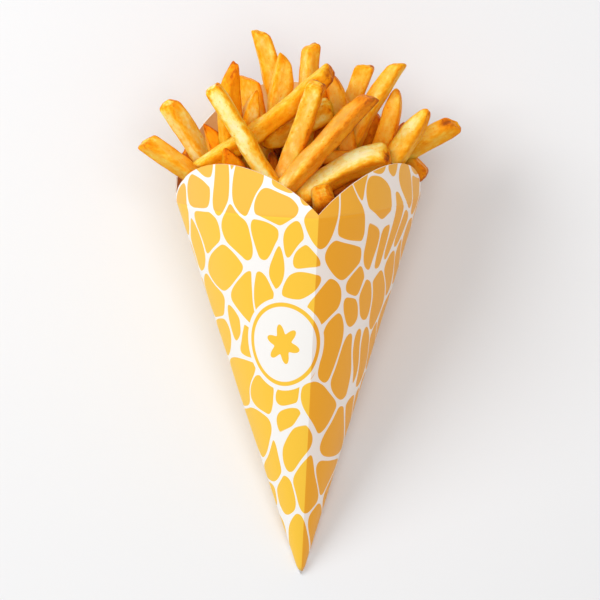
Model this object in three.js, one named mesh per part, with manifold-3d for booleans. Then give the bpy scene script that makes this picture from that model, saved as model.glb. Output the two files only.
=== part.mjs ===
// A folded board cone heaped with french fries, lying on its back with the open front up.
// Millimetres, +Z up. The tip of the cone points along -Y and the fries along +Y.

import * as THREE from 'three';
import { mergeVertices } from 'three/addons/utils/BufferGeometryUtils.js';
import Module from 'manifold-3d';

// The cone is cut from one piece of board: two front panels that meet in a sharp crease, and one
// bowed back panel. A scored line runs round it, and the lobes stand above that line.
const SCORE_HEIGHT = 175; // along the axis, from the point of the cone to the scored line
const CORNER_RADIUS = 56; // from the axis to the front crease and to both side corners
const FRONT_RADIUS = 50; // to the middle of a front panel
const BACK_RADIUS = 49.5; // to the middle of the back panel
const REST_RADIUS = 48.7; // to the strip of the back that is pressed flat where it lies
const BOARD = 0.8; // thickness of the board
const TIP = { blunt: 2.2, ring: 3.5 }; // along the axis: the outside of the tip, and its first ring
const INNER_TIP = { blunt: 5.5, ring: 8 }; // the same inside the cone
const TURN = THREE.MathUtils.degToRad(9); // the crease lies this far round from straight up

// Height of the lobes above the scored line where they meet their neighbours.
const LOBE_ENDS = { left: 4, crease: 1.5, right: 2.5 };
// A front lobe is a circular arc: its rise above its ends, and half the width of its panel.
const LEFT_LOBE = { rise: 19.4, reach: 40 };
const RIGHT_LOBE = { rise: 18, reach: 40 };
// The back lobe is a bell: its rise, how fast it falls, and where its top lies round the panel.
const BACK_LOBE = { rise: 40.5, fall: 1.7, peak: THREE.MathUtils.degToRad(-4) };
const FRONT_LEAN = 0.15; // a front lobe leans out by this share of the slope of the wall below
const BACK_EASE = 3; // how fast the back lobe takes up the whole slope from its ends inwards
const LOBE_STEPS = 3;
const PANEL_STEPS = 48; // facets round the cone

// The point of the cone, placed so that the origin is under the middle of the whole.
const POINT = { x: 0.6, y: -123 };
const REST_SLOPE = Math.atan2(REST_RADIUS, SCORE_HEIGHT); // of the axis, when the back lies flat
const REST_YAW = THREE.MathUtils.degToRad(0.33); // the axis lies this far round to the left
const PILE_SLOPE = THREE.MathUtils.degToRad(5.6); // of the plane in which the fries are laid out

const GAP = 0.35; // kept between the fries and the board
const TIP_TAPER = 0.9; // a fry narrows a little to its outer end
const CHAMFER = 0.22; // of a fry's corners, as a share of its thickness
// The packed fries in the cone, along the axis: from foot to top, then drawn in to the crown.
const CORE = { foot: 18, ring: 22, top: 152, drawnIn: 9, crown: 5 };
const CORE_CLEARANCE = 2 * GAP;

// Distance from the axis to a bowed panel, at an angle from the middle of the panel.
function bowed(angle, halfAngle, corner, middle) {
  const offset = (corner ** 2 - middle ** 2) / (2 * (corner * Math.cos(halfAngle) - middle));
  const radius = middle - offset;
  return offset * Math.cos(angle) + Math.sqrt(radius ** 2 - (offset * Math.sin(angle)) ** 2);
}

// The cone's outline at the scored line. The angle runs round from straight up.
function outline(angle) {
  const turned = Math.atan2(Math.sin(angle - TURN), Math.cos(angle - TURN));
  const quarter = Math.PI / 4;
  const fromMiddle = Math.abs(turned) - quarter;
  const radius =
    fromMiddle <= quarter
      ? bowed(fromMiddle, quarter, CORNER_RADIUS, FRONT_RADIUS)
      : bowed(Math.abs(turned) - Math.PI, 2 * quarter, CORNER_RADIUS, BACK_RADIUS);
  const rest = Math.cos(angle) < 0 ? -REST_RADIUS / Math.cos(angle) : Infinity;
  return Math.min(radius, rest);
}

// The height of the free edge above the scored line, and the share of the wall's slope it keeps.
function lobe(angle) {
  const turned = Math.atan2(Math.sin(angle - TURN), Math.cos(angle - TURN));
  if (Math.abs(turned) > Math.PI / 2 + 1e-6) {
    const behind = turned > 0 ? turned - Math.PI : turned + Math.PI;
    const base = THREE.MathUtils.lerp(LOBE_ENDS.right, LOBE_ENDS.left, 0.5 + behind / Math.PI);
    const bell = Math.max(0, Math.cos(behind - BACK_LOBE.peak)) ** BACK_LOBE.fall;
    const lean = THREE.MathUtils.clamp(BACK_EASE * Math.cos(behind), FRONT_LEAN, 1);
    return { height: base + BACK_LOBE.rise * bell, lean };
  }
  const { rise, reach } = turned < 0 ? LEFT_LOBE : RIGHT_LOBE;
  const corner = turned < 0 ? LOBE_ENDS.left : LOBE_ENDS.right;
  const share = Math.min(1, Math.abs(turned) / (Math.PI / 2));
  const radius = (reach ** 2 + rise ** 2) / (2 * rise);
  const arc = Math.sqrt(radius ** 2 - (reach * (2 * share - 1)) ** 2) - (radius - rise);
  const base = THREE.MathUtils.lerp(LOBE_ENDS.crease, corner, share);
  return { height: base + Math.max(0, arc), lean: FRONT_LEAN };
}

// A point of a wall that stands inset from the outer face. Up is 0 at the point of the cone and 1
// at the scored line, and runs on to 2 at the free edge of the lobe, or over it by a length.
function wallPoint(angle, up, inset, over = 0) {
  const { height: tall, lean } = lobe(angle);
  const below = SCORE_HEIGHT * Math.min(up, 1);
  const above = Math.max(up - 1, 0) * tall + over;
  const radius = (outline(angle) / SCORE_HEIGHT) * (below + above * lean) - inset;
  return new THREE.Vector3(radius * Math.sin(angle), below + above, radius * Math.cos(angle));
}

// Lathes a profile of { up, inset, over } steps round the axis, which is Y here with +Z facing up,
// and moves each ring to the outline. A step with no up lies on the axis at its own height.
function coneGeometry(steps) {
  const line = steps.map(({ up, height }) => new THREE.Vector2(up ?? 0, height ?? up));
  const geometry = new THREE.LatheGeometry(line, PANEL_STEPS);
  const { position } = geometry.attributes;
  for (let i = 0; i < position.count; i += 1) {
    const { up, inset, over, height } = steps[i % steps.length];
    const ring = Math.floor(i / steps.length) % PANEL_STEPS;
    const angle = TURN + (ring / PANEL_STEPS) * 2 * Math.PI;
    const point = up === undefined ? new THREE.Vector3(0, height, 0) : wallPoint(angle, up, inset, over);
    position.setXYZ(i, point.x, point.y, point.z);
  }
  return geometry;
}

// The rings of a lobe, from the scored line to the free edge.
function lobeRings(inset) {
  return Array.from({ length: LOBE_STEPS + 1 }, (_, i) => ({ up: 1 + i / LOBE_STEPS, inset }));
}

const shellProfile = [
  { height: TIP.blunt },
  { up: TIP.ring / SCORE_HEIGHT, inset: 0 },
  ...lobeRings(0),
  ...lobeRings(BOARD).reverse(),
  { up: INNER_TIP.ring / SCORE_HEIGHT, inset: BOARD },
  { height: INNER_TIP.blunt },
];

// Turns a shape built along the axis so that the back of the cone lies on Z = 0.
function layDown(geometry) {
  geometry.rotateX(REST_SLOPE);
  geometry.rotateZ(REST_YAW);
  geometry.translate(POINT.x, POINT.y, 0);
  return geometry;
}

const wasm = await Module();
wasm.setup();

function toSolid(geometry) {
  const bare = geometry.clone();
  bare.deleteAttribute('normal');
  bare.deleteAttribute('uv');
  const merged = mergeVertices(bare, 1e-4);
  return new wasm.Manifold(
    new wasm.Mesh({
      numProp: 3,
      vertProperties: merged.attributes.position.array,
      triVerts: new Uint32Array(merged.index.array),
    }),
  );
}

function toGeometry(solid) {
  const mesh = solid.getMesh();
  const geometry = new THREE.BufferGeometry();
  geometry.setAttribute('position', new THREE.BufferAttribute(mesh.vertProperties, 3));
  geometry.setIndex(new THREE.BufferAttribute(mesh.triVerts, 1));
  return geometry;
}

// The layout of the pile: across the cone, along it from its point, and lifted towards the front.
function fromPile([across, along, lift]) {
  return new THREE.Vector3(
    POINT.x + across,
    POINT.y + along * Math.cos(PILE_SLOPE) - lift * Math.sin(PILE_SLOPE),
    along * Math.sin(PILE_SLOPE) + lift * Math.cos(PILE_SLOPE),
  );
}

// The fries that stand clear of the heap, from the left side to the right: the outer end, the
// buried end, the width and thickness, and how far in degrees the broad face turns to the right.
const FRIES = [
  { tip: [-71, 198.2, 40], foot: [-14, 157, 27], width: 8.6, depth: 8.2, roll: 42 },
  { tip: [-60, 215.2, 35], foot: [-20, 150, 10], width: 8.6, depth: 7.8, roll: 42 },
  { tip: [-52, 194, 20], foot: [-17, 160, 12], width: 7.5, depth: 7.5, roll: 20 },
  { tip: [-40.6, 206.6, 46], foot: [-29, 168, 34], width: 9.5, depth: 7.5, roll: 10 },
  { tip: [-30.6, 195.6, 56], foot: [-25, 168, 44], width: 10.4, depth: 7, roll: 10 },
  { tip: [13.6, 229.6, 63], foot: [-45.5, 185.5, 47], width: 8.8, depth: 7.8, roll: 30 },
  { tip: [-40, 222.6, 72], foot: [4.2, 148, 53], width: 8.4, depth: 7.8, roll: -10 },
  { tip: [-32.5, 230.4, 57], foot: [-31.5, 163, 32], width: 9.6, depth: 8, roll: 40 },
  { tip: [-24, 226.5, 31], foot: [-13, 163, 22], width: 10.4, depth: 7.5, roll: 8 },
  { tip: [-22, 220.5, 51], foot: [-27, 166, 28], width: 7.8, depth: 7, roll: 24 },
  { tip: [-18.4, 247, 37], foot: [4, 165, 22], width: 9.4, depth: 7.8, roll: 12 },
  { tip: [-6.8, 236.5, 45], foot: [-17, 164, 33], width: 10.2, depth: 7.8, roll: 12 },
  { tip: [4.7, 241, 42], foot: [-4, 163, 34], width: 7.8, depth: 7.4, roll: 38 },
  { tip: [7.8, 224.4, 75], foot: [-24, 144, 40], width: 8.8, depth: 7.8, roll: -12 },
  { tip: [13.8, 228, 46], foot: [27.5, 163, 38], width: 8.4, depth: 7.5, roll: -8 },
  { tip: [11.8, 222.5, 38], foot: [6, 163, 27], width: 8, depth: 7.5, roll: 20 },
  { tip: [-17, 196, 45], foot: [14, 213, 47], width: 10.4, depth: 8, roll: -32 },
  { tip: [-12.4, 192.5, 40], foot: [-9, 160, 34], width: 7.4, depth: 7, roll: 10 },
  { tip: [31.2, 218.4, 68], foot: [-10.3, 173.2, 63], width: 8.8, depth: 8, roll: -42 },
  { tip: [29, 232, 37], foot: [5, 164, 22], width: 8.8, depth: 7.5, roll: -5 },
  { tip: [44, 232.6, 50], foot: [3, 163, 30], width: 8.6, depth: 7.5, roll: -25 },
  { tip: [42.8, 221.5, 45], foot: [27.5, 166, 37], width: 9, depth: 7.6, roll: -6 },
  { tip: [47, 206, 34], foot: [33, 166, 26], width: 7.5, depth: 7.5, roll: 10 },
  { tip: [35, 209.5, 34], foot: [24, 166, 26], width: 8.4, depth: 7.5, roll: 10 },
  { tip: [39, 193.4, 55], foot: [-1.8, 172.4, 61], width: 10, depth: 9.4, roll: -40 },
  { tip: [35.5, 190, 49], foot: [8.5, 190.5, 50], width: 8, depth: 7.5, roll: -20 },
  { tip: [42, 186, 49], foot: [13, 174, 54], width: 7.5, depth: 7, roll: -10 },
  { tip: [9.8, 174.6, 70], foot: [9.8, 160, 38], width: 9.6, depth: 10.2, roll: 20 },
  { tip: [56.8, 212.2, 51], foot: [19.5, 156, 42], width: 9.4, depth: 8, roll: -28 },
  { tip: [70, 206.3, 30], foot: [15.5, 169.7, 23], width: 8.6, depth: 7.8, roll: -42 },
  { tip: [56, 181.4, 27], foot: [27.8, 204.6, 22], width: 8.6, depth: 7.5, roll: 10 },
  { tip: [52, 191, 24], foot: [29, 178, 20], width: 7.5, depth: 7.5, roll: 30 },
];

// The rest stand in rows from the back of the cone forwards, with their ends low: four rows behind
// the clear fries, and three under the front lobes. Rise is how much higher the ends stand for each
// millimetre from the middle of the row.
const ROWS = [
  { lift: -6, middle: 0, reach: 26, top: 199, rise: -0.2 },
  { lift: 4, middle: 0, reach: 37, top: 199, rise: -0.2 },
  { lift: 14, middle: 0, reach: 42, top: 199, rise: -0.2 },
  { lift: 24, middle: 0, reach: 40, top: 199, rise: -0.2 },
  { lift: 50, middle: 0, reach: 33, top: 158, rise: 0.5 },
  { lift: 59, middle: 1, reach: 26, top: 158, rise: 0.5 },
  { lift: 68, middle: 4, reach: 15, top: 156, rise: 0.5 },
];
const ROW_PITCH = 11.5;
const ROW_SWAY = { across: 2.6, along: 6, lift: 2.4 };
const ROW_FOOT = { along: 130, pull: 0.7, lift: 6 };
const ROW_FRY = { width: 8.6, depth: 7.8 };
const ROW_ROLL = 40;

function rowFries() {
  const fries = [];
  ROWS.forEach(({ lift, middle, reach, top, rise }, row) => {
    const count = Math.floor((2 * reach) / ROW_PITCH) + 1;
    for (let i = 0; i < count; i += 1) {
      const aside = (i - (count - 1) / 2) * ROW_PITCH;
      const across = middle + aside;
      const wander = Math.sin(5 * i + 3 * row);
      const along = top + rise * Math.abs(aside) + ROW_SWAY.along * wander;
      fries.push({
        tip: [across + ROW_SWAY.across * wander, along, lift + ROW_SWAY.lift * Math.cos(4 * i + row)],
        foot: [across * ROW_FOOT.pull, ROW_FOOT.along, lift * ROW_FOOT.pull + ROW_FOOT.lift],
        ...ROW_FRY,
        roll: ROW_ROLL * Math.sin(7 * i + row),
      });
    }
  });
  return fries;
}

// A square stick with chamfered corners, from its buried end to its outer end.
function fryGeometry({ tip, foot, width, depth, roll }) {
  const start = fromPile(foot);
  const reach = fromPile(tip).sub(start);
  const cut = CHAMFER * depth;
  const [x, y] = [width / 2, depth / 2];
  const section = new THREE.Shape([
    new THREE.Vector2(x, y - cut),
    new THREE.Vector2(x - cut, y),
    new THREE.Vector2(cut - x, y),
    new THREE.Vector2(-x, y - cut),
    new THREE.Vector2(-x, cut - y),
    new THREE.Vector2(cut - x, -y),
    new THREE.Vector2(x - cut, -y),
    new THREE.Vector2(x, cut - y),
  ]);
  const geometry = new THREE.ExtrudeGeometry(section, { depth: reach.length(), bevelEnabled: false });
  const { position } = geometry.attributes;
  for (let i = 0; i < position.count; i += 1) {
    const narrow = position.getZ(i) > 0 ? TIP_TAPER : 1;
    position.setXY(i, position.getX(i) * narrow, position.getY(i) * narrow);
  }
  const along = reach.normalize();
  const side = new THREE.Vector3().crossVectors(fromPile([0, 0, 1]).sub(fromPile([0, 0, 0])), along);
  side.normalize();
  const face = new THREE.Vector3().crossVectors(along, side);
  geometry.rotateZ(THREE.MathUtils.degToRad(roll));
  geometry.applyMatrix4(new THREE.Matrix4().makeBasis(side, face, along).setPosition(start));
  return geometry;
}

// What fills the cone under the heap, clear of the board all round.
function coreSolid() {
  const inset = BOARD + CORE_CLEARANCE;
  const profile = [
    { height: CORE.foot },
    { up: CORE.ring / SCORE_HEIGHT, inset },
    { up: CORE.top / SCORE_HEIGHT, inset },
    { up: 1, inset: inset + CORE.drawnIn },
    { height: SCORE_HEIGHT + CORE.crown },
  ];
  return toSolid(layDown(coneGeometry(profile)));
}

// The room the board needs: its own shell, thicker by the gap on both sides and at the free edge.
function boardRoom() {
  const outside = [...lobeRings(-GAP).slice(0, -1), { up: 2, inset: -GAP, over: GAP }];
  const inside = [...lobeRings(BOARD + GAP).slice(0, -1), { up: 2, inset: BOARD + GAP, over: GAP }];
  const profile = [
    { height: 0 },
    { up: TIP.ring / SCORE_HEIGHT, inset: -GAP },
    ...outside,
    ...inside.reverse(),
    { up: INNER_TIP.ring / SCORE_HEIGHT, inset: BOARD + GAP },
    { height: INNER_TIP.blunt },
  ];
  return toSolid(layDown(coneGeometry(profile)));
}

function friesSolid() {
  const sticks = [...FRIES, ...rowFries()].map((fry) => toSolid(fryGeometry(fry)));
  const heap = sticks.reduce((joined, stick) => joined.add(stick), coreSolid());
  return heap.subtract(boardRoom());
}

const object = new THREE.Group();

const board = new THREE.Mesh(
  layDown(coneGeometry(shellProfile)),
  new THREE.MeshStandardMaterial({ color: 0xf2b93c, roughness: 0.55, metalness: 0 }),
);
board.name = 'board_cone';
object.add(board);

const fries = new THREE.Mesh(
  toGeometry(friesSolid()),
  new THREE.MeshStandardMaterial({ color: 0xf0b040, roughness: 0.6, metalness: 0 }),
);
fries.name = 'fries';
object.add(fries);

export default object;
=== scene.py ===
"""A folded board cone heaped with french fries, lying on its back with the open front up."""

import math
import random

import bmesh
import bpy
from mathutils import Matrix, Vector, noise


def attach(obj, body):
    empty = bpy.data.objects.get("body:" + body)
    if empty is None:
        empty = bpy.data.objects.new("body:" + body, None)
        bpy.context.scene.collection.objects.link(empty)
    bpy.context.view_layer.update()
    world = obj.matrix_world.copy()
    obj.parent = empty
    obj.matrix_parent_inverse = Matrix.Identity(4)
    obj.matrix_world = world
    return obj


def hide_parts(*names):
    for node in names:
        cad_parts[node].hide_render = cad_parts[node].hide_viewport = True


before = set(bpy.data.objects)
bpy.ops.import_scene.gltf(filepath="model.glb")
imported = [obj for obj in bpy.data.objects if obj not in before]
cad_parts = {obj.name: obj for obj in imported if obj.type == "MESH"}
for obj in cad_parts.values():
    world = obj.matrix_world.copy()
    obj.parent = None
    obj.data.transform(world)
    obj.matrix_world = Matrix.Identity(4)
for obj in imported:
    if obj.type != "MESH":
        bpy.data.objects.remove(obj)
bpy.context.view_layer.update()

# ---------------------------------------------------------------------------------------------
# The board cone. One die-cut piece of white-faced kraft board, printed outside, with a sharp
# crease at the front, softer corners at the sides and a glued back. A line is scored round it,
# and above that line stand two scalloped front lobes and one tall back lobe.

MM = 0.001
SCORE_HEIGHT = 175 * MM
CORNER_RADIUS = 56 * MM
FRONT_RADIUS = 50 * MM
BACK_RADIUS = 49.5 * MM
REST_RADIUS = 48.7 * MM
BOARD = 0.6 * MM
TIP = {"outside": 2.2 * MM, "inside": 4.8 * MM}
TURN = math.radians(9)
QUARTER = math.pi / 4
CORNER_SOFTNESS = math.radians(4)
LOBE_ENDS = {"left": 4 * MM, "crease": 1.5 * MM, "right": 2.5 * MM}
LOBE_RISE = {"left": 19.4 * MM, "right": 18 * MM}
LOBE_REACH = 40 * MM
BACK_LOBE = {"rise": 40.5 * MM, "fall": 1.7, "peak": math.radians(-4)}
FRONT_LEAN = 0.15
BACK_EASE = 3
POINT = Vector((0.6 * MM, -123 * MM, 0))
REST_SLOPE = math.atan2(REST_RADIUS, SCORE_HEIGHT)
REST_YAW = math.radians(0.33)

# The scored groove fades out where the board above it is low, and the faces waver a little
# wherever the board isn't pressed flat on the floor.
SCORE_GROOVE = {"half_width": 0.7 * MM, "depth": 0.22 * MM, "fade": 12 * MM}
WAVER = {"height": 0.3 * MM, "scale": 1.3, "rows": 4, "start": -0.6, "over": 0.5}

# Rings of points lie at places from 0 at the point of the cone, through 1 at the scored line, to
# 2 at the free edge. Those below the score and in the lobes are given by first place, last place
# and count. A hair is less than any step between points.
COLUMNS = 240
RINGS_BELOW = (0.036, 0.99, 46)
RINGS_OVER_SCORE = [1.01, 1.03]
RINGS_LOBE = (1.06, 2, 14)
OUTER, INNER = 2, 1
INNER_POINT = 0.01
HAIR = 1e-3
# The lobe ink, a painted sheen, fades in over this first share of the lobe.
LOBE_SHEEN_START = 1 / 60
PRINT_SIDE, KRAFT_SIDE, CUT_SIDE = 0, 1, 2


def facing(angle):
    """The angle measured from the front crease, from -pi to pi."""
    return math.atan2(math.sin(angle - TURN), math.cos(angle - TURN))


def bowed(angle, half_angle, corner, middle):
    """Distance from the axis to a bowed panel, at an angle from the middle of the panel."""
    offset = (corner**2 - middle**2) / (2 * (corner * math.cos(half_angle) - middle))
    radius = middle - offset
    return offset * math.cos(angle) + math.sqrt(radius**2 - (offset * math.sin(angle)) ** 2)


def panel_radius(turned):
    """Distance from the axis to the board at the scored line, by angle from the crease."""
    if abs(turned) <= 2 * QUARTER:
        return bowed(abs(turned) - QUARTER, QUARTER, CORNER_RADIUS, FRONT_RADIUS)
    return bowed(abs(turned) - math.pi, 2 * QUARTER, CORNER_RADIUS, BACK_RADIUS)


def outline(angle):
    """The panels with their side corners softened, pressed flat underneath."""
    turned = facing(angle)
    radius = panel_radius(turned)
    if QUARTER < abs(turned) < 3 * QUARTER:
        steps = [CORNER_SOFTNESS * share for share in (-1, -0.5, 0, 0.5, 1)]
        radius = sum(panel_radius(abs(turned) + step) for step in steps) / len(steps)
    if math.cos(angle) < 0:
        radius = min(radius, -REST_RADIUS / math.cos(angle))
    return radius


def lobe(angle):
    """Height of the free edge above the scored line, and how much of the wall's slope it keeps."""
    turned = facing(angle)
    if abs(turned) > 2 * QUARTER + HAIR:
        behind = turned - math.pi if turned > 0 else turned + math.pi
        share = 0.5 + behind / math.pi
        base = LOBE_ENDS["right"] + (LOBE_ENDS["left"] - LOBE_ENDS["right"]) * share
        rise = max(0, math.cos(behind - BACK_LOBE["peak"])) ** BACK_LOBE["fall"]
        lean = min(1, max(FRONT_LEAN, BACK_EASE * math.cos(behind)))
        return base + BACK_LOBE["rise"] * rise, lean
    side = "left" if turned < 0 else "right"
    rise = LOBE_RISE[side]
    share = min(1, abs(turned) / (2 * QUARTER))
    radius = (LOBE_REACH**2 + rise**2) / (2 * rise)
    arc = math.sqrt(radius**2 - (LOBE_REACH * (2 * share - 1)) ** 2) - (radius - rise)
    base = LOBE_ENDS["crease"] + (LOBE_ENDS[side] - LOBE_ENDS["crease"]) * share
    return base + max(0, arc), FRONT_LEAN


def lay_down(across, along, up):
    """A point given along the cone's own axis, with the back of the cone laid on the floor."""
    turned = Matrix.Rotation(REST_SLOPE, 3, "X") @ Vector((across, along, up))
    return Matrix.Rotation(REST_YAW, 3, "Z") @ turned + POINT


def wall_point(angle, up, inset):
    """A point of the board, by its angle, its place from point to free edge, and its depth."""
    tall, lean = lobe(angle)
    above = max(up - 1, 0) * tall
    below = min(up, 1) * SCORE_HEIGHT
    along = below + above
    radius = outline(angle) / SCORE_HEIGHT * (below + above * lean) - inset
    groove = max(0, 1 - abs(along - SCORE_HEIGHT) / SCORE_GROOVE["half_width"])
    groove *= min(1, tall / SCORE_GROOVE["fade"])
    around = Vector((math.sin(angle), math.cos(angle), along / SCORE_HEIGHT * WAVER["rows"]))
    loose = min(1, max(0, (math.cos(angle) - WAVER["start"]) / WAVER["over"])) * min(up, 1)
    radius += loose * WAVER["height"] * noise.noise(around * WAVER["scale"])
    radius -= groove * SCORE_GROOVE["depth"]
    return lay_down(radius * math.sin(angle), along, radius * math.cos(angle))


def flat_place(turned, angle, up):
    """Where a point of the board lies on the flat sheet that it was cut from."""
    tall, _ = lobe(angle)
    reach = min(up, 1) * math.hypot(SCORE_HEIGHT, outline(angle)) + max(up - 1, 0) * tall
    spread = turned * CORNER_RADIUS / math.hypot(SCORE_HEIGHT, CORNER_RADIUS)
    return reach * math.sin(spread), reach * math.cos(spread)


def evenly(start, end, count):
    """Values at even steps from start to end."""
    return [start + (end - start) * i / (count - 1) for i in range(count)]


def spin_round(bm, line, steps):
    """Spins a line of points, each how far out and how high, once round from the front crease."""
    first = [bm.verts.new((out * math.sin(TURN), out * math.cos(TURN), up)) for out, up in line]
    edges = [bm.edges.new(pair) for pair in zip(first, first[1:])]
    bmesh.ops.spin(
        bm,
        geom=first + edges,
        cent=(0, 0, 0),
        axis=(0, 0, 1),
        angle=2 * math.pi,
        steps=steps,
        use_merge=True,
    )
    bmesh.ops.remove_doubles(bm, verts=bm.verts, dist=1e-5)
    bmesh.ops.recalc_face_normals(bm, faces=bm.faces)


def set_down(bm, name):
    """Makes a finished mesh an object of that name in the scene."""
    mesh = bpy.data.meshes.new(name)
    bm.to_mesh(mesh)
    bm.free()
    piece = bpy.data.objects.new(name, mesh)
    bpy.context.collection.objects.link(piece)
    return piece


bm = bmesh.new()
groove = SCORE_GROOVE["half_width"] / SCORE_HEIGHT
in_score = [1 - groove, 1 - groove / 2, 1]
ups = evenly(*RINGS_BELOW) + in_score + RINGS_OVER_SCORE + evenly(*RINGS_LOBE)
outer_wall = [(OUTER, up) for up in ups]
inner_wall = [(INNER, up) for up in reversed(ups)]
spin_round(bm, [(0, 0)] + outer_wall + inner_wall + [(0, INNER_POINT)], COLUMNS)

sheet_uv = bm.loops.layers.uv.new("sheet")
lobe_sheen_share = bm.verts.layers.float.new("lobe")
places = {v: (round(math.hypot(v.co.x, v.co.y)), math.atan2(v.co.x, v.co.y), v.co.z) for v in bm.verts}
for face in bm.faces:
    face.smooth = True
    walls = {places[v][0] for v in face.verts}
    face.material_index = PRINT_SIDE if OUTER in walls else KRAFT_SIDE
    if walls == {OUTER, INNER}:
        face.material_index = CUT_SIDE
    turns = {v: facing(places[v][1]) for v in face.verts if places[v][0]}
    seam = max(turns.values()) - min(turns.values()) > math.pi
    middle = sum(t + 2 * math.pi * (seam and t < 0) for t in turns.values()) / len(turns)
    for loop in face.loops:
        turned = turns.get(loop.vert, middle)
        turned += 2 * math.pi * (seam and turned < 0)
        loop[sheet_uv].uv = flat_place(turned, places[loop.vert][1], places[loop.vert][2])
for edge in bm.edges:
    one, other = (places[v] for v in edge.verts)
    on_crease = max(abs(facing(one[1])), abs(facing(other[1]))) < HAIR
    on_rim = min(one[2], other[2]) > 2 - HAIR
    edge.smooth = not (on_crease or on_rim)
for vert, (wall, angle, up) in places.items():
    # The lobe share marks where the painted sheen of the lobe ink shows.
    vert[lobe_sheen_share] = min(1, max(0, up - 1) / LOBE_SHEEN_START)
    if wall == 0:
        vert.co = lay_down(0, TIP["outside"] if up < INNER_POINT / 2 else TIP["inside"], 0)
    else:
        vert.co = wall_point(angle, up, 0 if wall == OUTER else BOARD)
board = set_down(bm, "folded_board")


def srgb(hex_code):
    """A hex colour as linear red, green, blue and alpha."""
    values = [int(hex_code[i : i + 2], 16) / 255 for i in (1, 3, 5)]
    return [v / 12.92 if v <= 0.04045 else ((v + 0.055) / 1.055) ** 2.4 for v in values] + [1]


def material(name):
    """A new material and its bare node tree."""
    made = bpy.data.materials.new(name)
    made.use_nodes = True
    made.node_tree.nodes.clear()
    return made, made.node_tree


def node(tree, kind, inputs=(), **settings):
    """Adds one shader node, with its settings by name and its inputs as values or links."""
    made = tree.nodes.new(kind)
    for name, value in settings.items():
        setattr(made, name, value)
    for socket, value in dict(inputs).items():
        if isinstance(value, bpy.types.NodeSocket):
            tree.links.new(value, made.inputs[socket])
        else:
            made.inputs[socket].default_value = value
    return made


# Printed paperboard, coated and satin: soft rounded cells of amber ink with white gaps between
# them, and one plain oval label with a small rosette. On the half right of the crease, which lies
# in more shade, ink and white are mixed warmer and more orange: painted shade. In the lobes above
# the scored line the ink is mixed less saturated: painted sheen. The fibre grain under it is
# drawn coarser than real fibres, so it shows.
CELL = 17.5 * MM
CELL_STRETCH = (1.3, 0.78, 1)
CELL_TILT = math.radians(28)
CELL_BEND = {"size": 2 * CELL, "by": 1.1 * CELL}
CELL_SOFTNESS = 0.85
CELL_GAP = {"width": 0.075, "play": 0.06, "edge": 0.003}
LABEL = {"across": -14 * MM, "along": 118 * MM, "tilt": math.radians(-12), "stretch": 1.22}
LABEL_RINGS = {"clear": 19.5 * MM, "ring": 17.6 * MM, "inside": 15.8 * MM}
ROSETTE = {"reach": 6.5 * MM, "petals": 6.0, "depth": 0.3}
PRINT_EDGE = {"From Min": -0.1 * MM, "From Max": 0.1 * MM}
# The right colours are painted shade: the half right of the crease mixed warmer and more orange.
INK = {"left": "#FFCA38", "right": "#FFAD10"}
# Lobe ink is painted sheen: the ink above the scored line, less saturated.
LOBE_SHEEN_INK = {"left": "#FFBD44", "right": "#FFB42C"}
WHITE = {"left": "#FBF8F4", "right": "#FFF2E9"}
FIBRE = 0.5 * MM

printed, tree = material("printed_paperboard")
sheet = node(tree, "ShaderNodeUVMap", uv_map="sheet").outputs["UV"]
bend = node(tree, "ShaderNodeTexNoise", {"Vector": sheet, "Scale": 1 / CELL_BEND["size"], "Detail": 0.0})
shift = node(
    tree,
    "ShaderNodeVectorMath",
    {0: bend.outputs["Color"], 1: (0.5, 0.5, 0.5)},
    operation="SUBTRACT",
).outputs[0]
moved = node(
    tree,
    "ShaderNodeVectorMath",
    {0: shift, 1: (CELL_BEND["by"], CELL_BEND["by"], 0), 2: sheet},
    operation="MULTIPLY_ADD",
).outputs[0]
stretched = node(
    tree,
    "ShaderNodeMapping",
    {"Vector": moved, "Rotation": (0, 0, CELL_TILT), "Scale": CELL_STRETCH},
).outputs[0]
cells = {"Vector": stretched, "Scale": 1 / CELL, "Randomness": 1.0}
sharp = node(
    tree,
    "ShaderNodeTexVoronoi",
    cells,
    voronoi_dimensions="2D",
    feature="F1",
).outputs["Distance"]
soft = node(
    tree,
    "ShaderNodeTexVoronoi",
    cells | {"Smoothness": CELL_SOFTNESS},
    voronoi_dimensions="2D",
    feature="SMOOTH_F1",
).outputs["Distance"]
closeness = node(tree, "ShaderNodeMath", {0: sharp, 1: soft}, operation="SUBTRACT").outputs[0]
gap = node(
    tree,
    "ShaderNodeMath",
    {0: bend.outputs["Fac"], 1: CELL_GAP["play"], 2: CELL_GAP["width"] - CELL_GAP["play"] / 2},
    operation="MULTIPLY_ADD",
).outputs[0]
over = node(tree, "ShaderNodeMath", {0: gap, 1: closeness}, operation="SUBTRACT").outputs[0]
cell = node(
    tree,
    "ShaderNodeMapRange",
    {"Value": over, "From Min": -CELL_GAP["edge"], "From Max": CELL_GAP["edge"]},
).outputs["Result"]

label_place = node(
    tree,
    "ShaderNodeMapping",
    {
        "Vector": sheet,
        "Location": (LABEL["across"], LABEL["along"], 0),
        "Rotation": (0, 0, LABEL["tilt"]),
        "Scale": (1, LABEL["stretch"], 1),
    },
    vector_type="TEXTURE",
).outputs[0]
reach = node(tree, "ShaderNodeVectorMath", {0: label_place}, operation="LENGTH").outputs["Value"]
axes = node(tree, "ShaderNodeSeparateXYZ", {"Vector": label_place}).outputs
swing = node(tree, "ShaderNodeMath", {0: axes["Y"], 1: axes["X"]}, operation="ARCTAN2").outputs[0]
petals = node(
    tree,
    "ShaderNodeMath",
    {0: swing, 1: ROSETTE["petals"]},
    operation="MULTIPLY",
).outputs[0]
wave = node(tree, "ShaderNodeMath", {0: petals}, operation="COSINE").outputs[0]
petal_edge = node(
    tree,
    "ShaderNodeMath",
    {0: wave, 1: ROSETTE["depth"] * ROSETTE["reach"], 2: ROSETTE["reach"]},
    operation="MULTIPLY_ADD",
).outputs[0]

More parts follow.
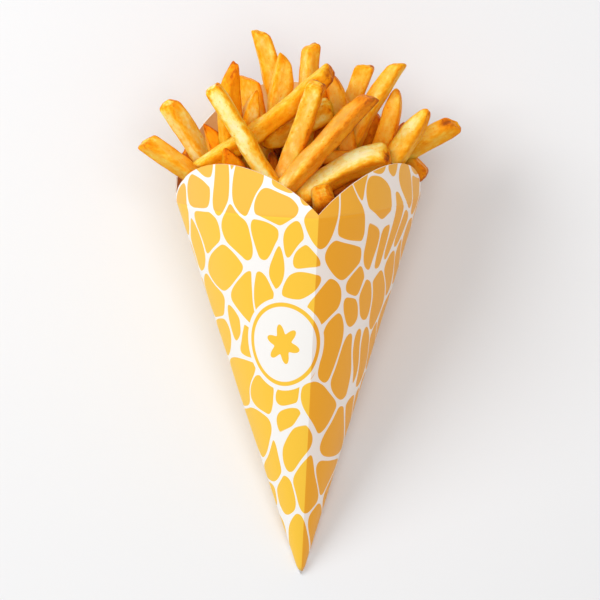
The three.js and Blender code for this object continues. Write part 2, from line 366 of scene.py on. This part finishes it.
across_sheet = node(tree, "ShaderNodeSeparateXYZ", {"Vector": sheet}).outputs["X"]
# The half right of the crease takes the painted shade colours.
shaded_half = node(tree, "ShaderNodeMapRange", {"Value": across_sheet} | PRINT_EDGE).outputs["Result"]
# The lobe attribute marks where the painted sheen of the lobe ink shows.
lobe_sheen_mask = node(tree, "ShaderNodeAttribute", attribute_name="lobe").outputs["Fac"]
ink, lobe_sheen_ink, white = (
    node(
        tree,
        "ShaderNodeMix",
        {0: shaded_half, 6: srgb(colour["left"]), 7: srgb(colour["right"])},
        data_type="RGBA",
    ).outputs[2]
    for colour in (INK, LOBE_SHEEN_INK, WHITE)
)
ink = node(tree, "ShaderNodeMix", {0: lobe_sheen_mask, 6: ink, 7: lobe_sheen_ink}, data_type="RGBA").outputs[2]
shown = node(tree, "ShaderNodeMix", {0: cell, 6: white, 7: ink}, data_type="RGBA").outputs[2]
label_layers = [
    (LABEL_RINGS["clear"], white),
    (LABEL_RINGS["ring"], ink),
    (LABEL_RINGS["inside"], white),
    (petal_edge, ink),
]
for limit, colour in label_layers:
    inwards = node(tree, "ShaderNodeMath", {0: limit, 1: reach}, operation="SUBTRACT").outputs[0]
    inside = node(tree, "ShaderNodeMapRange", {"Value": inwards} | PRINT_EDGE).outputs["Result"]
    shown = node(tree, "ShaderNodeMix", {0: inside, 6: shown, 7: colour}, data_type="RGBA").outputs[2]
grain = node(
    tree,
    "ShaderNodeTexNoise",
    {"Vector": sheet, "Scale": 1 / FIBRE, "Detail": 3.0},
).outputs["Fac"]
relief = node(
    tree,
    "ShaderNodeBump",
    {"Height": grain, "Strength": 0.08, "Distance": 0.1 * MM},
).outputs[0]
surface = node(
    tree,
    "ShaderNodeBsdfPrincipled",
    {"Base Color": shown, "Roughness": 0.42, "IOR": 1.5, "Normal": relief},
)
node(tree, "ShaderNodeOutputMaterial", {"Surface": surface.outputs[0]})
board.data.materials.append(printed)

# Kraft: the unbleached inside of the board, matt, a warm peach brown, with its fibres drawn out
# along the sheet and as coarse as the grain outside.
KRAFT = {"dark": "#ECAE66", "light": "#FDC480"}
FIBRE_DRAW = (1, 0.2, 1)

kraft, tree = material("kraft_inside")
sheet = node(tree, "ShaderNodeUVMap", uv_map="sheet").outputs["UV"]
drawn = node(tree, "ShaderNodeMapping", {"Vector": sheet, "Scale": FIBRE_DRAW}).outputs[0]
fibres = node(
    tree,
    "ShaderNodeTexNoise",
    {"Vector": drawn, "Scale": 1 / FIBRE, "Detail": 4.0},
).outputs["Fac"]
brown_board = node(
    tree,
    "ShaderNodeMix",
    {0: fibres, 6: srgb(KRAFT["dark"]), 7: srgb(KRAFT["light"])},
    data_type="RGBA",
).outputs[2]
surface = node(tree, "ShaderNodeBsdfPrincipled", {"Base Color": brown_board, "Roughness": 0.8})
node(tree, "ShaderNodeOutputMaterial", {"Surface": surface.outputs[0]})
board.data.materials.append(kraft)

# The die-cut edge: bare fibre, lighter than either face and quite matt.
CUT_FIBRE = {"dark": "#E2D6C6", "light": "#FAF5EC"}

cut_edge, tree = material("cut_board_edge")
place = node(tree, "ShaderNodeTexCoord").outputs["Object"]
fluff = node(
    tree,
    "ShaderNodeTexNoise",
    {"Vector": place, "Scale": 1 / FIBRE, "Detail": 2.0},
).outputs["Fac"]
bare_fibre = node(
    tree,
    "ShaderNodeMix",
    {0: fluff, 6: srgb(CUT_FIBRE["dark"]), 7: srgb(CUT_FIBRE["light"])},
    data_type="RGBA",
).outputs[2]
surface = node(tree, "ShaderNodeBsdfPrincipled", {"Base Color": bare_fibre, "Roughness": 0.9})
node(tree, "ShaderNodeOutputMaterial", {"Surface": surface.outputs[0]})
board.data.materials.append(cut_edge)

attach(board, "root")
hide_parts("board_cone")

# ---------------------------------------------------------------------------------------------
# The fries that stand clear of the heap. Straight-cut potato sticks about 8 mm square, fried
# crisp: the faces sink a little, the edges stand up as browner ridges, and the ends are cut at a
# slant or drawn to a point. Each is a copy of one stick, shaped by moving its points.

PILE_TURN = Matrix.Rotation(math.radians(5.6), 3, "X")
PILE_UP = PILE_TURN @ Vector((0, 0, 1))
END_PLACES = [0, 0.3 * MM, 0.9 * MM, 1.8 * MM, 3.2 * MM]
CAP_STEP = 0.24
CROWDING = 0.11

# The ends: a point narrows over its reach, a cut slants over its own, and the cut face is
# domed and torn a little. The foot of every fry narrows slightly.
POINT_REACH = 12 * MM
POINT_CURVE = 1.6
FOOT_POINT = 0.1
CUT_REACH = 10 * MM
TORN = {"size": 2.4 * MM, "depth": 0.6 * MM}
DOME = 0.4 * MM

# The sides: sunk faces, a slow swell along the length, and lumps of three sizes, each given
# with its height and drawn out along the fry.
SINK = {"depth": 0.22 * MM, "fade": 4 * MM}
SWELL = {"share": 0.07, "per_metre": 60}
LUMPS = [(11 * MM, 0.6 * MM), (4 * MM, 0.3 * MM), (1.8 * MM, 0.1 * MM)]
LUMP_RING = 5 * MM
LUMP_DRAW = 0.7
NOISE_STEP = Vector((7.3, 3.1, 5.7))

# The crust: browner at the rim of a cut and near the tip. The side away from the light is
# browned too, as painted shade.
RIM = {"width": 1.6 * MM, "inside": 0.15}
TIP_REACH = 5 * MM
SCORCH_REACH = 4.5 * MM
LIT_SIDE = Vector((-0.6, 0.35, 0.72)).normalized()
GRAIN_DRAW = 1.8
GRAIN_STEP = Vector((0.05, 0.03, 0.02))

# Tip and foot are across, along and lifted, in millimetres from the point of the cone, and size
# is the width and depth. Roll in degrees turns the broad face to the right. Bend is how far the
# middle stands off the straight line, and taper is the growth in thickness from foot to tip.
# At the outer end slant cuts it, point narrows it, bias moves the point aside and round softens
# its rim. Tone runs from straw at 0 to brown at 1.5, and fade is its growth from foot to tip.
# Shade is painted shade: the tone's growth on the faces turned away from the light, set per fry.
# Brown is how far the edges are browned, dull is how far the crust has gone matt and beige at
# the foot and at the tip. Burnt marks one spot: how brown it is, how many degrees round from the
# broad face it lies, and how far in from the outer end.
FRIES = [
    {"tip": (-70.2, 198, 40), "foot": (-14, 157, 27), "size": (8.2, 7.8), "roll": 42,
     "bend": (0.6, 1), "slant": (-0.2, -0.3), "dull": (0.25, 0.1), "tone": 0.04},
    {"tip": (-59.7, 215, 35), "foot": (-20, 150, 10), "size": (8.6, 7.6), "roll": 42,
     "bend": (1, 1), "slant": (0, -0.4), "taper": 0.08, "burnt": (0.25, 0, 3.5), "painted_shade": 0.22,
     "fade": -0.15, "tone": -0.04},
    {"tip": (-52, 194, 20), "foot": (-17, 160, 12), "size": (7.5, 7.5), "roll": 20, "point": 0.4,
     "tone": 0.52},
    {"tip": (-40.6, 206.6, 46), "foot": (-29, 168, 34), "size": (9.5, 7.5), "roll": 10,
     "point": 0.85, "bias": -0.8, "slant": (0, 0), "tone": 0.38},
    {"tip": (-30.6, 195.6, 56), "foot": (-25, 168, 44), "size": (10.4, 7), "roll": 10,
     "point": 0.85, "bias": -0.9, "slant": (0, 0), "tone": 0.3},
    {"tip": (13, 228.8, 63), "foot": (-45.5, 185.5, 47), "size": (8.8, 7.8), "roll": 30,
     "bend": (2.2, 0), "slant": (-0.15, -0.5), "brown": 0.5, "tone": 0.2},
    {"tip": (-40, 221.6, 72), "foot": (4.2, 148, 53), "size": (8.3, 7.8), "roll": -10,
     "slant": (0.05, -0.1), "taper": 0, "brown": 1.3, "painted_shade": 0.5, "fade": -0.2, "tone": -0.28},
    {"tip": (-32.5, 227.6, 57), "foot": (-31.5, 163, 32), "size": (9.8, 8), "roll": 40,
     "slant": (1.3, 0), "point": 0.24, "bias": 1, "brown": 0.25, "fade": 0.1, "painted_shade": 0.22,
     "tone": 0.26},
    {"tip": (-24, 226.5, 31), "foot": (-13, 163, 22), "size": (10.4, 7.5), "roll": 8,
     "slant": (-0.55, 0), "brown": 0.5, "painted_shade": 0.1, "tone": 0.24},
    {"tip": (-22, 220.5, 51), "foot": (-27, 166, 28), "size": (7.8, 7), "roll": 24,
     "point": 0.8, "bias": 0.75, "slant": (0, 0), "painted_shade": 0.12, "tone": 0.12},
    {"tip": (-18.3, 247.2, 37), "foot": (4, 165, 22), "size": (9.5, 7.8), "roll": 12,
     "slant": (-0.55, 0), "point": 0.1, "bias": -0.3, "taper": -0.05, "painted_shade": 0.12,
     "fade": 0.12, "tone": 0.07},
    {"tip": (-6.1, 234.8, 45), "foot": (-11.6, 199, 38), "size": (10.4, 7.8), "roll": 12,
     "slant": (-0.75, 0), "point": 0.38, "bias": -0.6, "painted_shade": 0.08, "tone": 0.16},
    {"tip": (4.7, 241, 42), "foot": (-4, 163, 34), "size": (7.8, 7.4), "roll": 38,
     "slant": (0.5, 0), "painted_shade": 0.2, "fade": -0.1, "dull": (0.2, 0.2), "tone": 0.17},
    {"tip": (7.6, 223.2, 75), "foot": (-24, 144, 40), "size": (8.8, 7.8), "roll": -12,
     "slant": (0, -0.2), "fade": -0.04, "dull": (1.3, 0), "tone": 0.05},
    {"tip": (13.8, 228, 46), "foot": (27.5, 163, 38), "size": (8.4, 7.5), "roll": -8,
     "point": 0.5, "painted_shade": 0.25, "dull": (0.5, 0.6), "tone": 0.2},
    {"tip": (11.8, 222.5, 38), "foot": (6, 163, 27), "size": (8, 7.5), "roll": 20,
     "brown": 0.4, "fade": -0.8, "tone": 0.8},
    {"tip": (-17, 196, 45), "foot": (14, 213, 47), "size": (10.4, 8), "roll": -32,
     "point": 0.4, "bias": 0.6, "brown": 1.0, "fade": 0.1, "tone": 0.02},
    {"tip": (-12.4, 192.5, 40), "foot": (-9, 160, 34), "size": (7.4, 7), "roll": 10,
     "point": 0.6, "tone": 0.8},
    {"tip": (30.6, 217.8, 68), "foot": (-10.3, 173.2, 63), "size": (8.8, 8), "roll": -42,
     "slant": (0.35, -0.4), "point": 0.2, "bias": 1, "taper": 0.08, "burnt": (0.4, 0, 3.5),
     "fade": 0.3, "dull": (0.45, 1.0), "tone": 0.18},
    {"tip": (28.8, 232, 37), "foot": (5, 164, 22), "size": (8.8, 7.5), "roll": -5,
     "slant": (0.3, 0), "brown": 0.4, "painted_shade": 0.2, "dull": (0.3, 0.1), "tone": 0.2},
    {"tip": (43.8, 232.4, 50), "foot": (13.5, 165, 30), "size": (8.4, 7.5), "roll": -25,
     "bend": (-4.4, 0), "slant": (0.6, 0), "fade": -0.45, "painted_shade": 0.12, "dull": (0.6, 0.1),
     "tone": 0.29},
    {"tip": (42.9, 221, 45), "foot": (23, 166, 37), "size": (9, 7.6), "roll": -6,
     "bend": (2.6, 0), "point": 0.66, "bias": 0, "fade": -0.7, "painted_shade": 0.2, "dull": (0.4, 0.3),
     "tone": 0.42},
    {"tip": (47, 206, 34), "foot": (33, 166, 26), "size": (7.5, 7.5), "roll": 10, "point": 0.5,
     "tone": 0.7},
    {"tip": (35, 209.5, 34), "foot": (24, 166, 26), "size": (8.4, 7.5), "roll": 10,
     "slant": (-0.8, 0), "brown": 0.4, "tone": 0.6},
    {"tip": (39.4, 191.8, 55), "foot": (-1, 170.6, 61), "size": (10.4, 9.8), "roll": -40,
     "bend": (-3.4, 0), "taper": 0.2, "slant": (-0.45, -0.2), "round": 2.6, "brown": 0.7,
     "fade": -0.12, "painted_shade": 0.46, "dull": (0.2, 0.1), "burnt": (1.3, 45, 0.6), "tone": -0.09},
    {"tip": (35.5, 190, 49), "foot": (8.5, 190.5, 50), "size": (8, 7.5), "roll": -20,
     "dull": (0.7, 0.7), "tone": 0.4},
    {"tip": (42, 186, 49), "foot": (13, 174, 54), "size": (7.5, 7), "roll": -10, "tone": 0.8},
    {"tip": (9.8, 174.6, 70), "foot": (9.8, 160, 38), "size": (9.6, 10.2), "roll": 20,
     "round": 3.6, "brown": 0.5, "painted_shade": 0.24, "dull": (0.1, 0.4), "tone": 0.08},
    {"tip": (56.8, 211.8, 51), "foot": (19.5, 156, 42), "size": (9.4, 8), "roll": -28,
     "point": 0.6, "bias": 0, "painted_shade": 0.26, "dull": (0.4, 0), "tone": 0.09},
    {"tip": (69.6, 206.2, 30), "foot": (15.5, 169.7, 23), "size": (8.4, 7.7), "roll": -42,
     "bend": (-1.5, 0), "slant": (0, -0.4), "burnt": (1.1, 0, 3.5), "painted_shade": 0.2,
     "dull": (0.2, 0.1), "tone": 0.14},
    {"tip": (55.6, 181.8, 27), "foot": (27.8, 204.6, 22), "size": (8.4, 7.5), "roll": 10,
     "point": 0.1, "slant": (0, 0), "fade": 0.2, "painted_shade": 0.25, "dull": (0.4, 0.4), "tone": 0.3},
    {"tip": (52, 191, 24), "foot": (29, 178, 20), "size": (7.5, 7.5), "roll": 30, "tone": 0.4},
]


def usual_form(chance):
    """What holds for a fry where its own row says nothing, with the ranges drawn in this order."""
    return {
        "play": chance.uniform(-3, 3),
        "bend": (chance.uniform(-1, 1), chance.uniform(-1, 1)),
        "slant": (chance.uniform(-0.3, 0.3), chance.uniform(-0.5, 0.1)),
        "taper": chance.uniform(-0.06, 0.06),
        "bias": chance.uniform(-0.5, 0.5),
        "brown": chance.uniform(0.5, 1.2),
        "squareness": chance.uniform(3.6, 5.2),
        "skew": chance.uniform(-0.12, 0.12),
        "twist": chance.uniform(-9, 9),
        "round": chance.uniform(1.4, 2.4),
        "point": 0.05,
        "burnt": (0, 0, 0),
        "fade": 0,
        # the usual strength of the painted shade on faces turned away from the light
        "painted_shade": 0.34,
        "dull": (0, 0),
    }


def from_pile(across, along, lift):
    """A point of the heap's own layout, which tips with the cone, in the object's frame."""
    return PILE_TURN @ Vector((across * MM, along * MM, lift * MM)) + POINT


def new_stick(bm, around, along, cap_rings):
    """A round rod of radius 1 from z = -0.5 to 0.5, cut into rings, with ringed caps."""
    bmesh.ops.create_cone(bm, cap_ends=True, segments=around, radius1=1, radius2=1, depth=1)
    rails = [e for e in bm.edges if abs(e.verts[0].co.z - e.verts[1].co.z) > 0.5]
    bmesh.ops.subdivide_edges(bm, edges=rails, cuts=along - 1, use_grid_fill=True)
    for side in (-0.5, 0.5):
        for ring in range(cap_rings):
            ends = [f for f in bm.faces if len(f.verts) == around]
            cap = [f for f in ends if f.calc_center_median().z * side > 0]
            bmesh.ops.inset_region(bm, faces=cap, thickness=CAP_STEP, use_even_offset=False)


def ring_place(ring, rings, length):
    """How far along a fry a ring stands. The rings crowd together at both ends."""
    last = len(END_PLACES) - 1
    if ring <= last:
        return END_PLACES[ring]
    if ring >= rings - last:
        return length - END_PLACES[rings - ring]
    free = (ring - last) / (rings - 2 * last)
    return END_PLACES[last] + free * (length - 2 * END_PLACES[last])


def rolled(x, y, turn):
    """A place or direction in the section of a fry, turned with the fry's roll."""
    return x * math.cos(turn) + y * math.sin(turn), y * math.cos(turn) - x * math.sin(turn)


def shape_fry(verts, row, seed, rings, layers):
    """Moves a stick's points to the form of one fry; notes its tone with painted shade, crust and grain.
    """
    fry = usual_form(random.Random(seed)) | row
    start, end = from_pile(*fry["foot"]), from_pile(*fry["tip"])
    length = (end - start).length
    along = (end - start).normalized()
    side = along.cross(PILE_UP).normalized()
    face = side.cross(along).normalized()
    half_width, half_depth = (size * MM / 2 for size in fry["size"])
    power = fry["squareness"]
    rounding = fry["round"] * MM
    bend_side, bend_face = (bend * MM for bend in fry["bend"])
    roll = math.radians(fry["roll"] + fry["play"])
    twist = math.radians(fry["twist"])
    foot_dull, tip_dull = fry["dull"]
    burnt, burnt_turn, burnt_in = fry["burnt"]
    burnt_across, burnt_up = rolled(0, half_depth, roll + math.radians(burnt_turn))
    scorch = end - along * burnt_in * MM + side * burnt_across + face * burnt_up
    away = NOISE_STEP * seed
    tone, crust, near_tip, dull, grain = layers
    for vert in verts:
        angle = math.atan2(vert.co.y, vert.co.x)
        angle += CROWDING * math.sin(4 * angle)
        reach = min(1, math.hypot(vert.co.x, vert.co.y))
        on_side = reach > 0.99
        run = ring_place(round((vert.co.z + 0.5) * rings), rings, length)
        share = run / length
        to_end = min(run, length - run)
        outer = run > length / 2

        # The section is nearly square. Ridge is 0 in the middle of a face and 1 at an edge.
        c, s = math.cos(angle), math.sin(angle)
        bulge = (abs(c) ** power + abs(s) ** power) ** (-1 / power)
        ridge = (bulge - 1) / (2 ** (0.5 - 1 / power) - 1)
        bare = max(0, rounding - to_end)
        inset = rounding - math.sqrt(rounding**2 - bare**2)
        near = max(0, 1 - to_end / POINT_REACH) ** POINT_CURVE
        point = near * (fry["point"] if outer else FOOT_POINT)
        narrow = 1 - point
        wave = noise.noise(away + Vector((0, 0, run * SWELL["per_metre"])))
        swell = (1 + fry["taper"] * (share - 0.5)) * (1 + SWELL["share"] * wave)
        hollow = SINK["depth"] * max(0, 1 - ridge * 2) * min(1, to_end / SINK["fade"])
        spot = Vector((c * LUMP_RING, s * LUMP_RING, run * LUMP_DRAW))
        lump = sum(height * noise.noise(away + spot / size) for size, height in LUMPS)
        worn = (inset + hollow - lump) * narrow
        x = (half_width * narrow * swell * bulge - worn) * c * reach
        y = (half_depth * narrow * swell * bulge - worn) * s * reach
        x += fry["skew"] * y
        if outer:
            x += fry["bias"] * half_width * point

        # The end is cut, torn and domed, and the whole is then rolled, twisted and bent.
        cut = max(0, 1 - to_end / CUT_REACH)
        torn = noise.noise(away + Vector((x, y, 0)) / TORN["size"])
        shift = (fry["slant"][0] * x + fry["slant"][1] * y) * cut
        shift += TORN["depth"] * torn * cut**3 + DOME * (1 - reach**2)
        run += shift if outer else -shift
        turn = roll + twist * (share - 0.5)
        across, up = rolled(x, y, turn)
        arch = 4 * share * (1 - share)
        vert.co = start + along * run + side * (across + bend_side * arch) + face * (up + bend_face * arch)

        # The tone follows the way the surface faces: painted shade on the side away from the light.
        # The crust follows ridge and rim.
        flat_x = math.copysign(abs(c) ** (power - 1), c)
        flat_y = math.copysign(abs(s) ** (power - 1), s)
        out_across, out_up = rolled(flat_x, flat_y, turn)
        out = (side * out_across + face * out_up).normalized() if on_side else along
        vert[tone] = fry["tone"] + fry["fade"] * (share - 0.5) + fry["painted_shade"] * (1 - out.dot(LIT_SIDE))
        vert[tone] += burnt * max(0, 1 - (vert.co - scorch).length / SCORCH_REACH)
        rim = max(0, 1 - to_end / RIM["width"]) if on_side else RIM["inside"]
        vert[crust] = fry["brown"] * max(ridge**2 if on_side else 0, rim)
        vert[near_tip] = max(0, 1 - to_end / TIP_REACH)
        vert[dull] = foot_dull + (tip_dull - foot_dull) * share
        vert[grain] = Vector((x, y, run / GRAIN_DRAW)) + GRAIN_STEP * seed


def fries_piece(name, rows, around, along, cap_rings):
    """One joined mesh of fries, each a shaped copy of the same stick."""
    bm = bmesh.new()
    layers = [bm.verts.layers.float.new(layer) for layer in ("tone", "crust", "tip", "dull")]
    layers.append(bm.verts.layers.float_vector.new("grain"))
    new_stick(bm, around, along, cap_rings)
    stick = list(bm.verts) + list(bm.edges) + list(bm.faces)
    for number, row in enumerate(rows):
        copy = bmesh.ops.duplicate(bm, geom=stick)["geom"]
        verts = [v for v in copy if isinstance(v, bmesh.types.BMVert)]
        shape_fry(verts, row, number + len(name), along, layers)
    spare = [v for v in stick if isinstance(v, bmesh.types.BMVert)]
    bmesh.ops.delete(bm, geom=spare, context="VERTS")
    for face in bm.faces:
        face.smooth = True
    return set_down(bm, name)


clear_fries = fries_piece("clear_fries", FRIES, around=48, along=34, cap_rings=4)

# Fried potato: a thin crust over a moist pale inside, so light goes a little way in and comes out
# warmer. Flat faces are straw yellow, ridges amber, and the ends spotted with brown. Each pattern
# browns the tone by its own amount, and about what blotches and streaks add is taken off again.
FRIED = [
    (-0.25, "#FFF3C8"),
    (0.0, "#FFEA9C"),
    (0.22, "#FFCE51"),
    (0.45, "#FDAE1A"),
    (0.7, "#EF9006"),
    (1.0, "#CC6602"),
    (1.5, "#6C2802"),
]
LIGHTEST, DARKEST = FRIED[0][0], FRIED[-1][0]
BEIGE = "#D29B52"
BLOTCH = 6 * MM
STREAK = 1.5 * MM
SPECK = 1.1 * MM
BLISTER = 1.3 * MM
BROWNING = {"blotch": 0.7, "streak": 0.38, "crust": 0.55, "tip": 0.3, "speck": 0.25}
EVEN_OUT = -0.49

potato, tree = material("fried_potato")
# The tone attribute carries painted shade: on the fries' faces turned away from the light, and in the
# browner packed rows and core that show through the gaps.
tone, crust, tip, dull = (
    node(tree, "ShaderNodeAttribute", attribute_name=name).outputs["Fac"]
    for name in ("tone", "crust", "tip", "dull")
)
grain = node(tree, "ShaderNodeAttribute", attribute_name="grain").outputs["Vector"]
place = node(tree, "ShaderNodeTexCoord").outputs["Object"]
blotch, streak, spots, blisters = (
    node(
        tree,
        "ShaderNodeTexNoise",
        {"Vector": where, "Scale": 1 / size, "Detail": detail},
    ).outputs["Fac"]
    for where, size, detail in (
        (grain, BLOTCH, 3.0),
        (grain, STREAK, 4.0),
        (place, SPECK, 1.0),
        (place, BLISTER, 3.0),
    )
)
speck = node(
    tree,
    "ShaderNodeMapRange",
    {"Value": spots, "From Min": 0.66, "From Max": 0.76},
).outputs["Result"]
crusted = node(tree, "ShaderNodeMath", {0: crust, 1: streak}, operation="MULTIPLY").outputs[0]
tipped = node(tree, "ShaderNodeMath", {0: tip, 1: streak}, operation="MULTIPLY").outputs[0]
fried = node(tree, "ShaderNodeMath", {0: tone, 1: EVEN_OUT}, operation="ADD").outputs[0]
patterns = {"blotch": blotch, "streak": streak, "crust": crusted, "tip": tipped, "speck": speck}
for name, pattern in patterns.items():
    fried = node(
        tree,
        "ShaderNodeMath",
        {0: pattern, 1: BROWNING[name], 2: fried},
        operation="MULTIPLY_ADD",
    ).outputs[0]
share = node(
    tree,
    "ShaderNodeMapRange",
    {"Value": fried, "From Min": LIGHTEST, "From Max": DARKEST},
).outputs["Result"]
ramp = node(tree, "ShaderNodeValToRGB", {0: share})
stops = ramp.color_ramp.elements
while len(stops) < len(FRIED):
    stops.new(0.5)
for stop, (at, colour) in zip(stops, FRIED):
    stop.position = (at - LIGHTEST) / (DARKEST - LIGHTEST)
    stop.color = srgb(colour)

# The dull crust is mottled, and shows only where the fry is pale.
mottle = node(
    tree,
    "ShaderNodeMapRange",
    {"Value": blotch, "From Min": 0.3, "From Max": 0.6, "To Min": 0.2, "To Max": 0.9},
).outputs["Result"]
pale_part = node(
    tree,
    "ShaderNodeMapRange",
    {"Value": fried, "From Min": 0.3, "From Max": 0.7, "To Min": 1.0, "To Max": 0.1},
).outputs["Result"]
mottled = node(tree, "ShaderNodeMath", {0: dull, 1: mottle}, operation="MULTIPLY").outputs[0]
dulled = node(tree, "ShaderNodeMath", {0: mottled, 1: pale_part}, operation="MULTIPLY").outputs[0]
shown = node(
    tree,
    "ShaderNodeMix",
    {0: dulled, 6: ramp.outputs[0], 7: srgb(BEIGE)},
    data_type="RGBA",
).outputs[2]
height = node(tree, "ShaderNodeMath", {0: blisters, 1: streak}, operation="ADD").outputs[0]
relief = node(
    tree,
    "ShaderNodeBump",
    {"Height": height, "Strength": 0.5, "Distance": 0.35 * MM},
).outputs[0]
gloss = node(
    tree,
    "ShaderNodeMapRange",
    {"Value": streak, "From Min": 0.3, "From Max": 0.7, "To Min": 0.4, "To Max": 0.6},
).outputs["Result"]
surface = node(
    tree,
    "ShaderNodeBsdfPrincipled",
    {
        "Base Color": shown,
        "Roughness": gloss,
        "IOR": 1.45,
        "Specular IOR Level": 0.18,
        "Specular Tint": (1.0, 0.74, 0.34, 1.0),
        "Normal": relief,
        "Subsurface Weight": 0.6,
        "Subsurface Radius": (1.0, 0.5, 0.12),
        "Subsurface Scale": 4 * MM,
    },
)
node(tree, "ShaderNodeOutputMaterial", {"Surface": surface.outputs[0]})
clear_fries.data.materials.append(potato)

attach(clear_fries, "root")
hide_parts("fries")

# ---------------------------------------------------------------------------------------------
# The fries behind, cut and fried like the clear ones. They stand in rows from the back of the
# cone forwards, with their ends low: four rows behind the clear fries, and three under the
# front lobes. Each row is given in millimetres in the heap's own layout.

# The highest row behind and the three rows under the front lobes show in the gaps among the clear fries;
# their browner tone is painted shade for those gaps.
PACK_ROWS = [
    {"lift": -6, "middle": 0, "reach": 26, "top": 199, "rise": -0.2, "tone": 0.32},
    {"lift": 4, "middle": 0, "reach": 37, "top": 199, "rise": -0.2, "tone": 0.36},
    {"lift": 14, "middle": 0, "reach": 42, "top": 199, "rise": -0.2, "tone": 0.5},
    {"lift": 24, "middle": 0, "reach": 40, "top": 199, "rise": -0.2, "tone": 1.05},
    {"lift": 50, "middle": 0, "reach": 33, "top": 158, "rise": 0.5, "tone": 0.9},
    {"lift": 59, "middle": 1, "reach": 26, "top": 158, "rise": 0.5, "tone": 0.8},
    {"lift": 68, "middle": 4, "reach": 15, "top": 156, "rise": 0.5, "tone": 0.7},
]
ROW_PITCH = 11.5
ROW_FOOT = {"gather": 0.7, "along": 130, "lift": 6}
PACKED_SIZE = (8.4, 7.6)
STRAY = {"aside": 2.6, "along": 6, "lift": 2.4, "roll": 40, "tone": 0.15}
BLUNT_TIP = 0.15
SHARP_TIP = 0.4

packed = []
for number, row in enumerate(PACK_ROWS):
    count = math.floor(2 * row["reach"] / ROW_PITCH) + 1
    for i in range(count):
        aside = (i - (count - 1) / 2) * ROW_PITCH
        across = row["middle"] + aside
        stray = math.sin(5 * i + 3 * number)
        along = row["top"] + row["rise"] * abs(aside) + STRAY["along"] * stray
        lift = row["lift"] + STRAY["lift"] * math.cos(4 * i + number)
        foot_lift = row["lift"] * ROW_FOOT["gather"] + ROW_FOOT["lift"]
        packed.append(
            {
                "tip": (across + STRAY["aside"] * stray, along, lift),
                "foot": (across * ROW_FOOT["gather"], ROW_FOOT["along"], foot_lift),
                "size": PACKED_SIZE,
                "roll": STRAY["roll"] * math.sin(7 * i + number),
                "point": SHARP_TIP if stray > 0 else BLUNT_TIP,
                "tone": row["tone"] + STRAY["tone"] * stray,
            }
        )
packed_fries = fries_piece("packed_fries", packed, around=24, along=18, cap_rings=3)
packed_fries.data.materials.append(potato)
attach(packed_fries, "root")

# ---------------------------------------------------------------------------------------------
# The imported inside of the cone, where single fries can't be seen: a plain brown filling with a
# rounded top, of fried potato like the rest, a little clear of the board. Its deep brown tone
# is painted shade for the dark gaps between the fries.

CORE_INSET = 1.6 * MM
CORE_TOP = 0.9
CORE_LINE = [(0, 0.1), (1, 0.14), (1, 0.5), (1, CORE_TOP), (0.7, 0.96), (0.35, 1.0), (0, 1.0)]
CORE_COLUMNS = 96
# painted shade: the deep brown that shows through the gaps
CORE_SHADE_TONE = 1.2

bm = bmesh.new()
spin_round(bm, CORE_LINE, CORE_COLUMNS)
core_shade_tone = bm.verts.layers.float.new("tone")
for vert in bm.verts:
    angle = math.atan2(vert.co.x, vert.co.y)
    share = math.hypot(vert.co.x, vert.co.y)
    radius = (outline(angle) * min(vert.co.z, CORE_TOP) - CORE_INSET) * share
    along = vert.co.z * SCORE_HEIGHT
    vert.co = lay_down(radius * math.sin(angle), along, radius * math.cos(angle))
    vert[core_shade_tone] = CORE_SHADE_TONE
for face in bm.faces:
    face.smooth = True
core = set_down(bm, "packed_core")
core.data.materials.append(potato)
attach(core, "root")

# ---------------------------------------------------------------------------------------------
# The floor, a pale matt sheet just under the cone, the studio lamps, and the camera, which looks
# down on the lying cone from far off.

FLOOR_SIZE = 6.0
FLOOR_DROP = 0.05 * MM

bm = bmesh.new()
bmesh.ops.create_grid(bm, x_segments=1, y_segments=1, size=FLOOR_SIZE / 2)
bmesh.ops.translate(bm, verts=bm.verts, vec=(0, 0, -FLOOR_DROP))
floor = set_down(bm, "floor")
pale_sheet, tree = material("pale_floor")
surface = node(tree, "ShaderNodeBsdfPrincipled", {"Base Color": srgb("#EAEAEB"), "Roughness": 0.9})
node(tree, "ShaderNodeOutputMaterial", {"Surface": surface.outputs[0]})
floor.data.materials.append(pale_sheet)

LAMP_AIM = from_pile(0, 150, 40)
LAMPS = [
    {"name": "key", "from": Vector((-0.96, 0.56, 1.15)), "size": 0.9, "power": 14.4},
    {"name": "top", "from": Vector((0.15, 0, 1.6)), "size": 1.0, "power": 8.8},
]
for lamp in LAMPS:
    light = bpy.data.lights.new(lamp["name"], "AREA")
    light.shape = "DISK"
    light.size = lamp["size"]
    light.energy = lamp["power"]
    shining = bpy.data.objects.new(lamp["name"], light)
    shining.location = LAMP_AIM + lamp["from"]
    shining.rotation_euler = (-lamp["from"]).to_track_quat("-Z", "Y").to_euler()
    bpy.context.collection.objects.link(shining)

world = bpy.data.worlds.new("studio")
world.use_nodes = True
world.node_tree.nodes["Background"].inputs["Color"].default_value = srgb("#FFFFFF")
world.node_tree.nodes["Background"].inputs["Strength"].default_value = 0.45
bpy.context.scene.world = world
bpy.context.scene.view_settings.view_transform = "Standard"

VIEW_MIDDLE = from_pile(-0.45, 126.5, 40)
VIEW_WIDTH = 270 * MM
VIEW_DISTANCE = 6.0
camera_data = bpy.data.cameras.new("camera")
camera_data.sensor_width = 36
camera_data.lens = camera_data.sensor_width * VIEW_DISTANCE / VIEW_WIDTH
camera_data.clip_end = 20
camera = bpy.data.objects.new("camera", camera_data)
camera.location = VIEW_MIDDLE + PILE_UP * VIEW_DISTANCE
camera.rotation_euler = PILE_TURN.to_euler()
bpy.context.collection.objects.link(camera)
bpy.context.scene.camera = camera
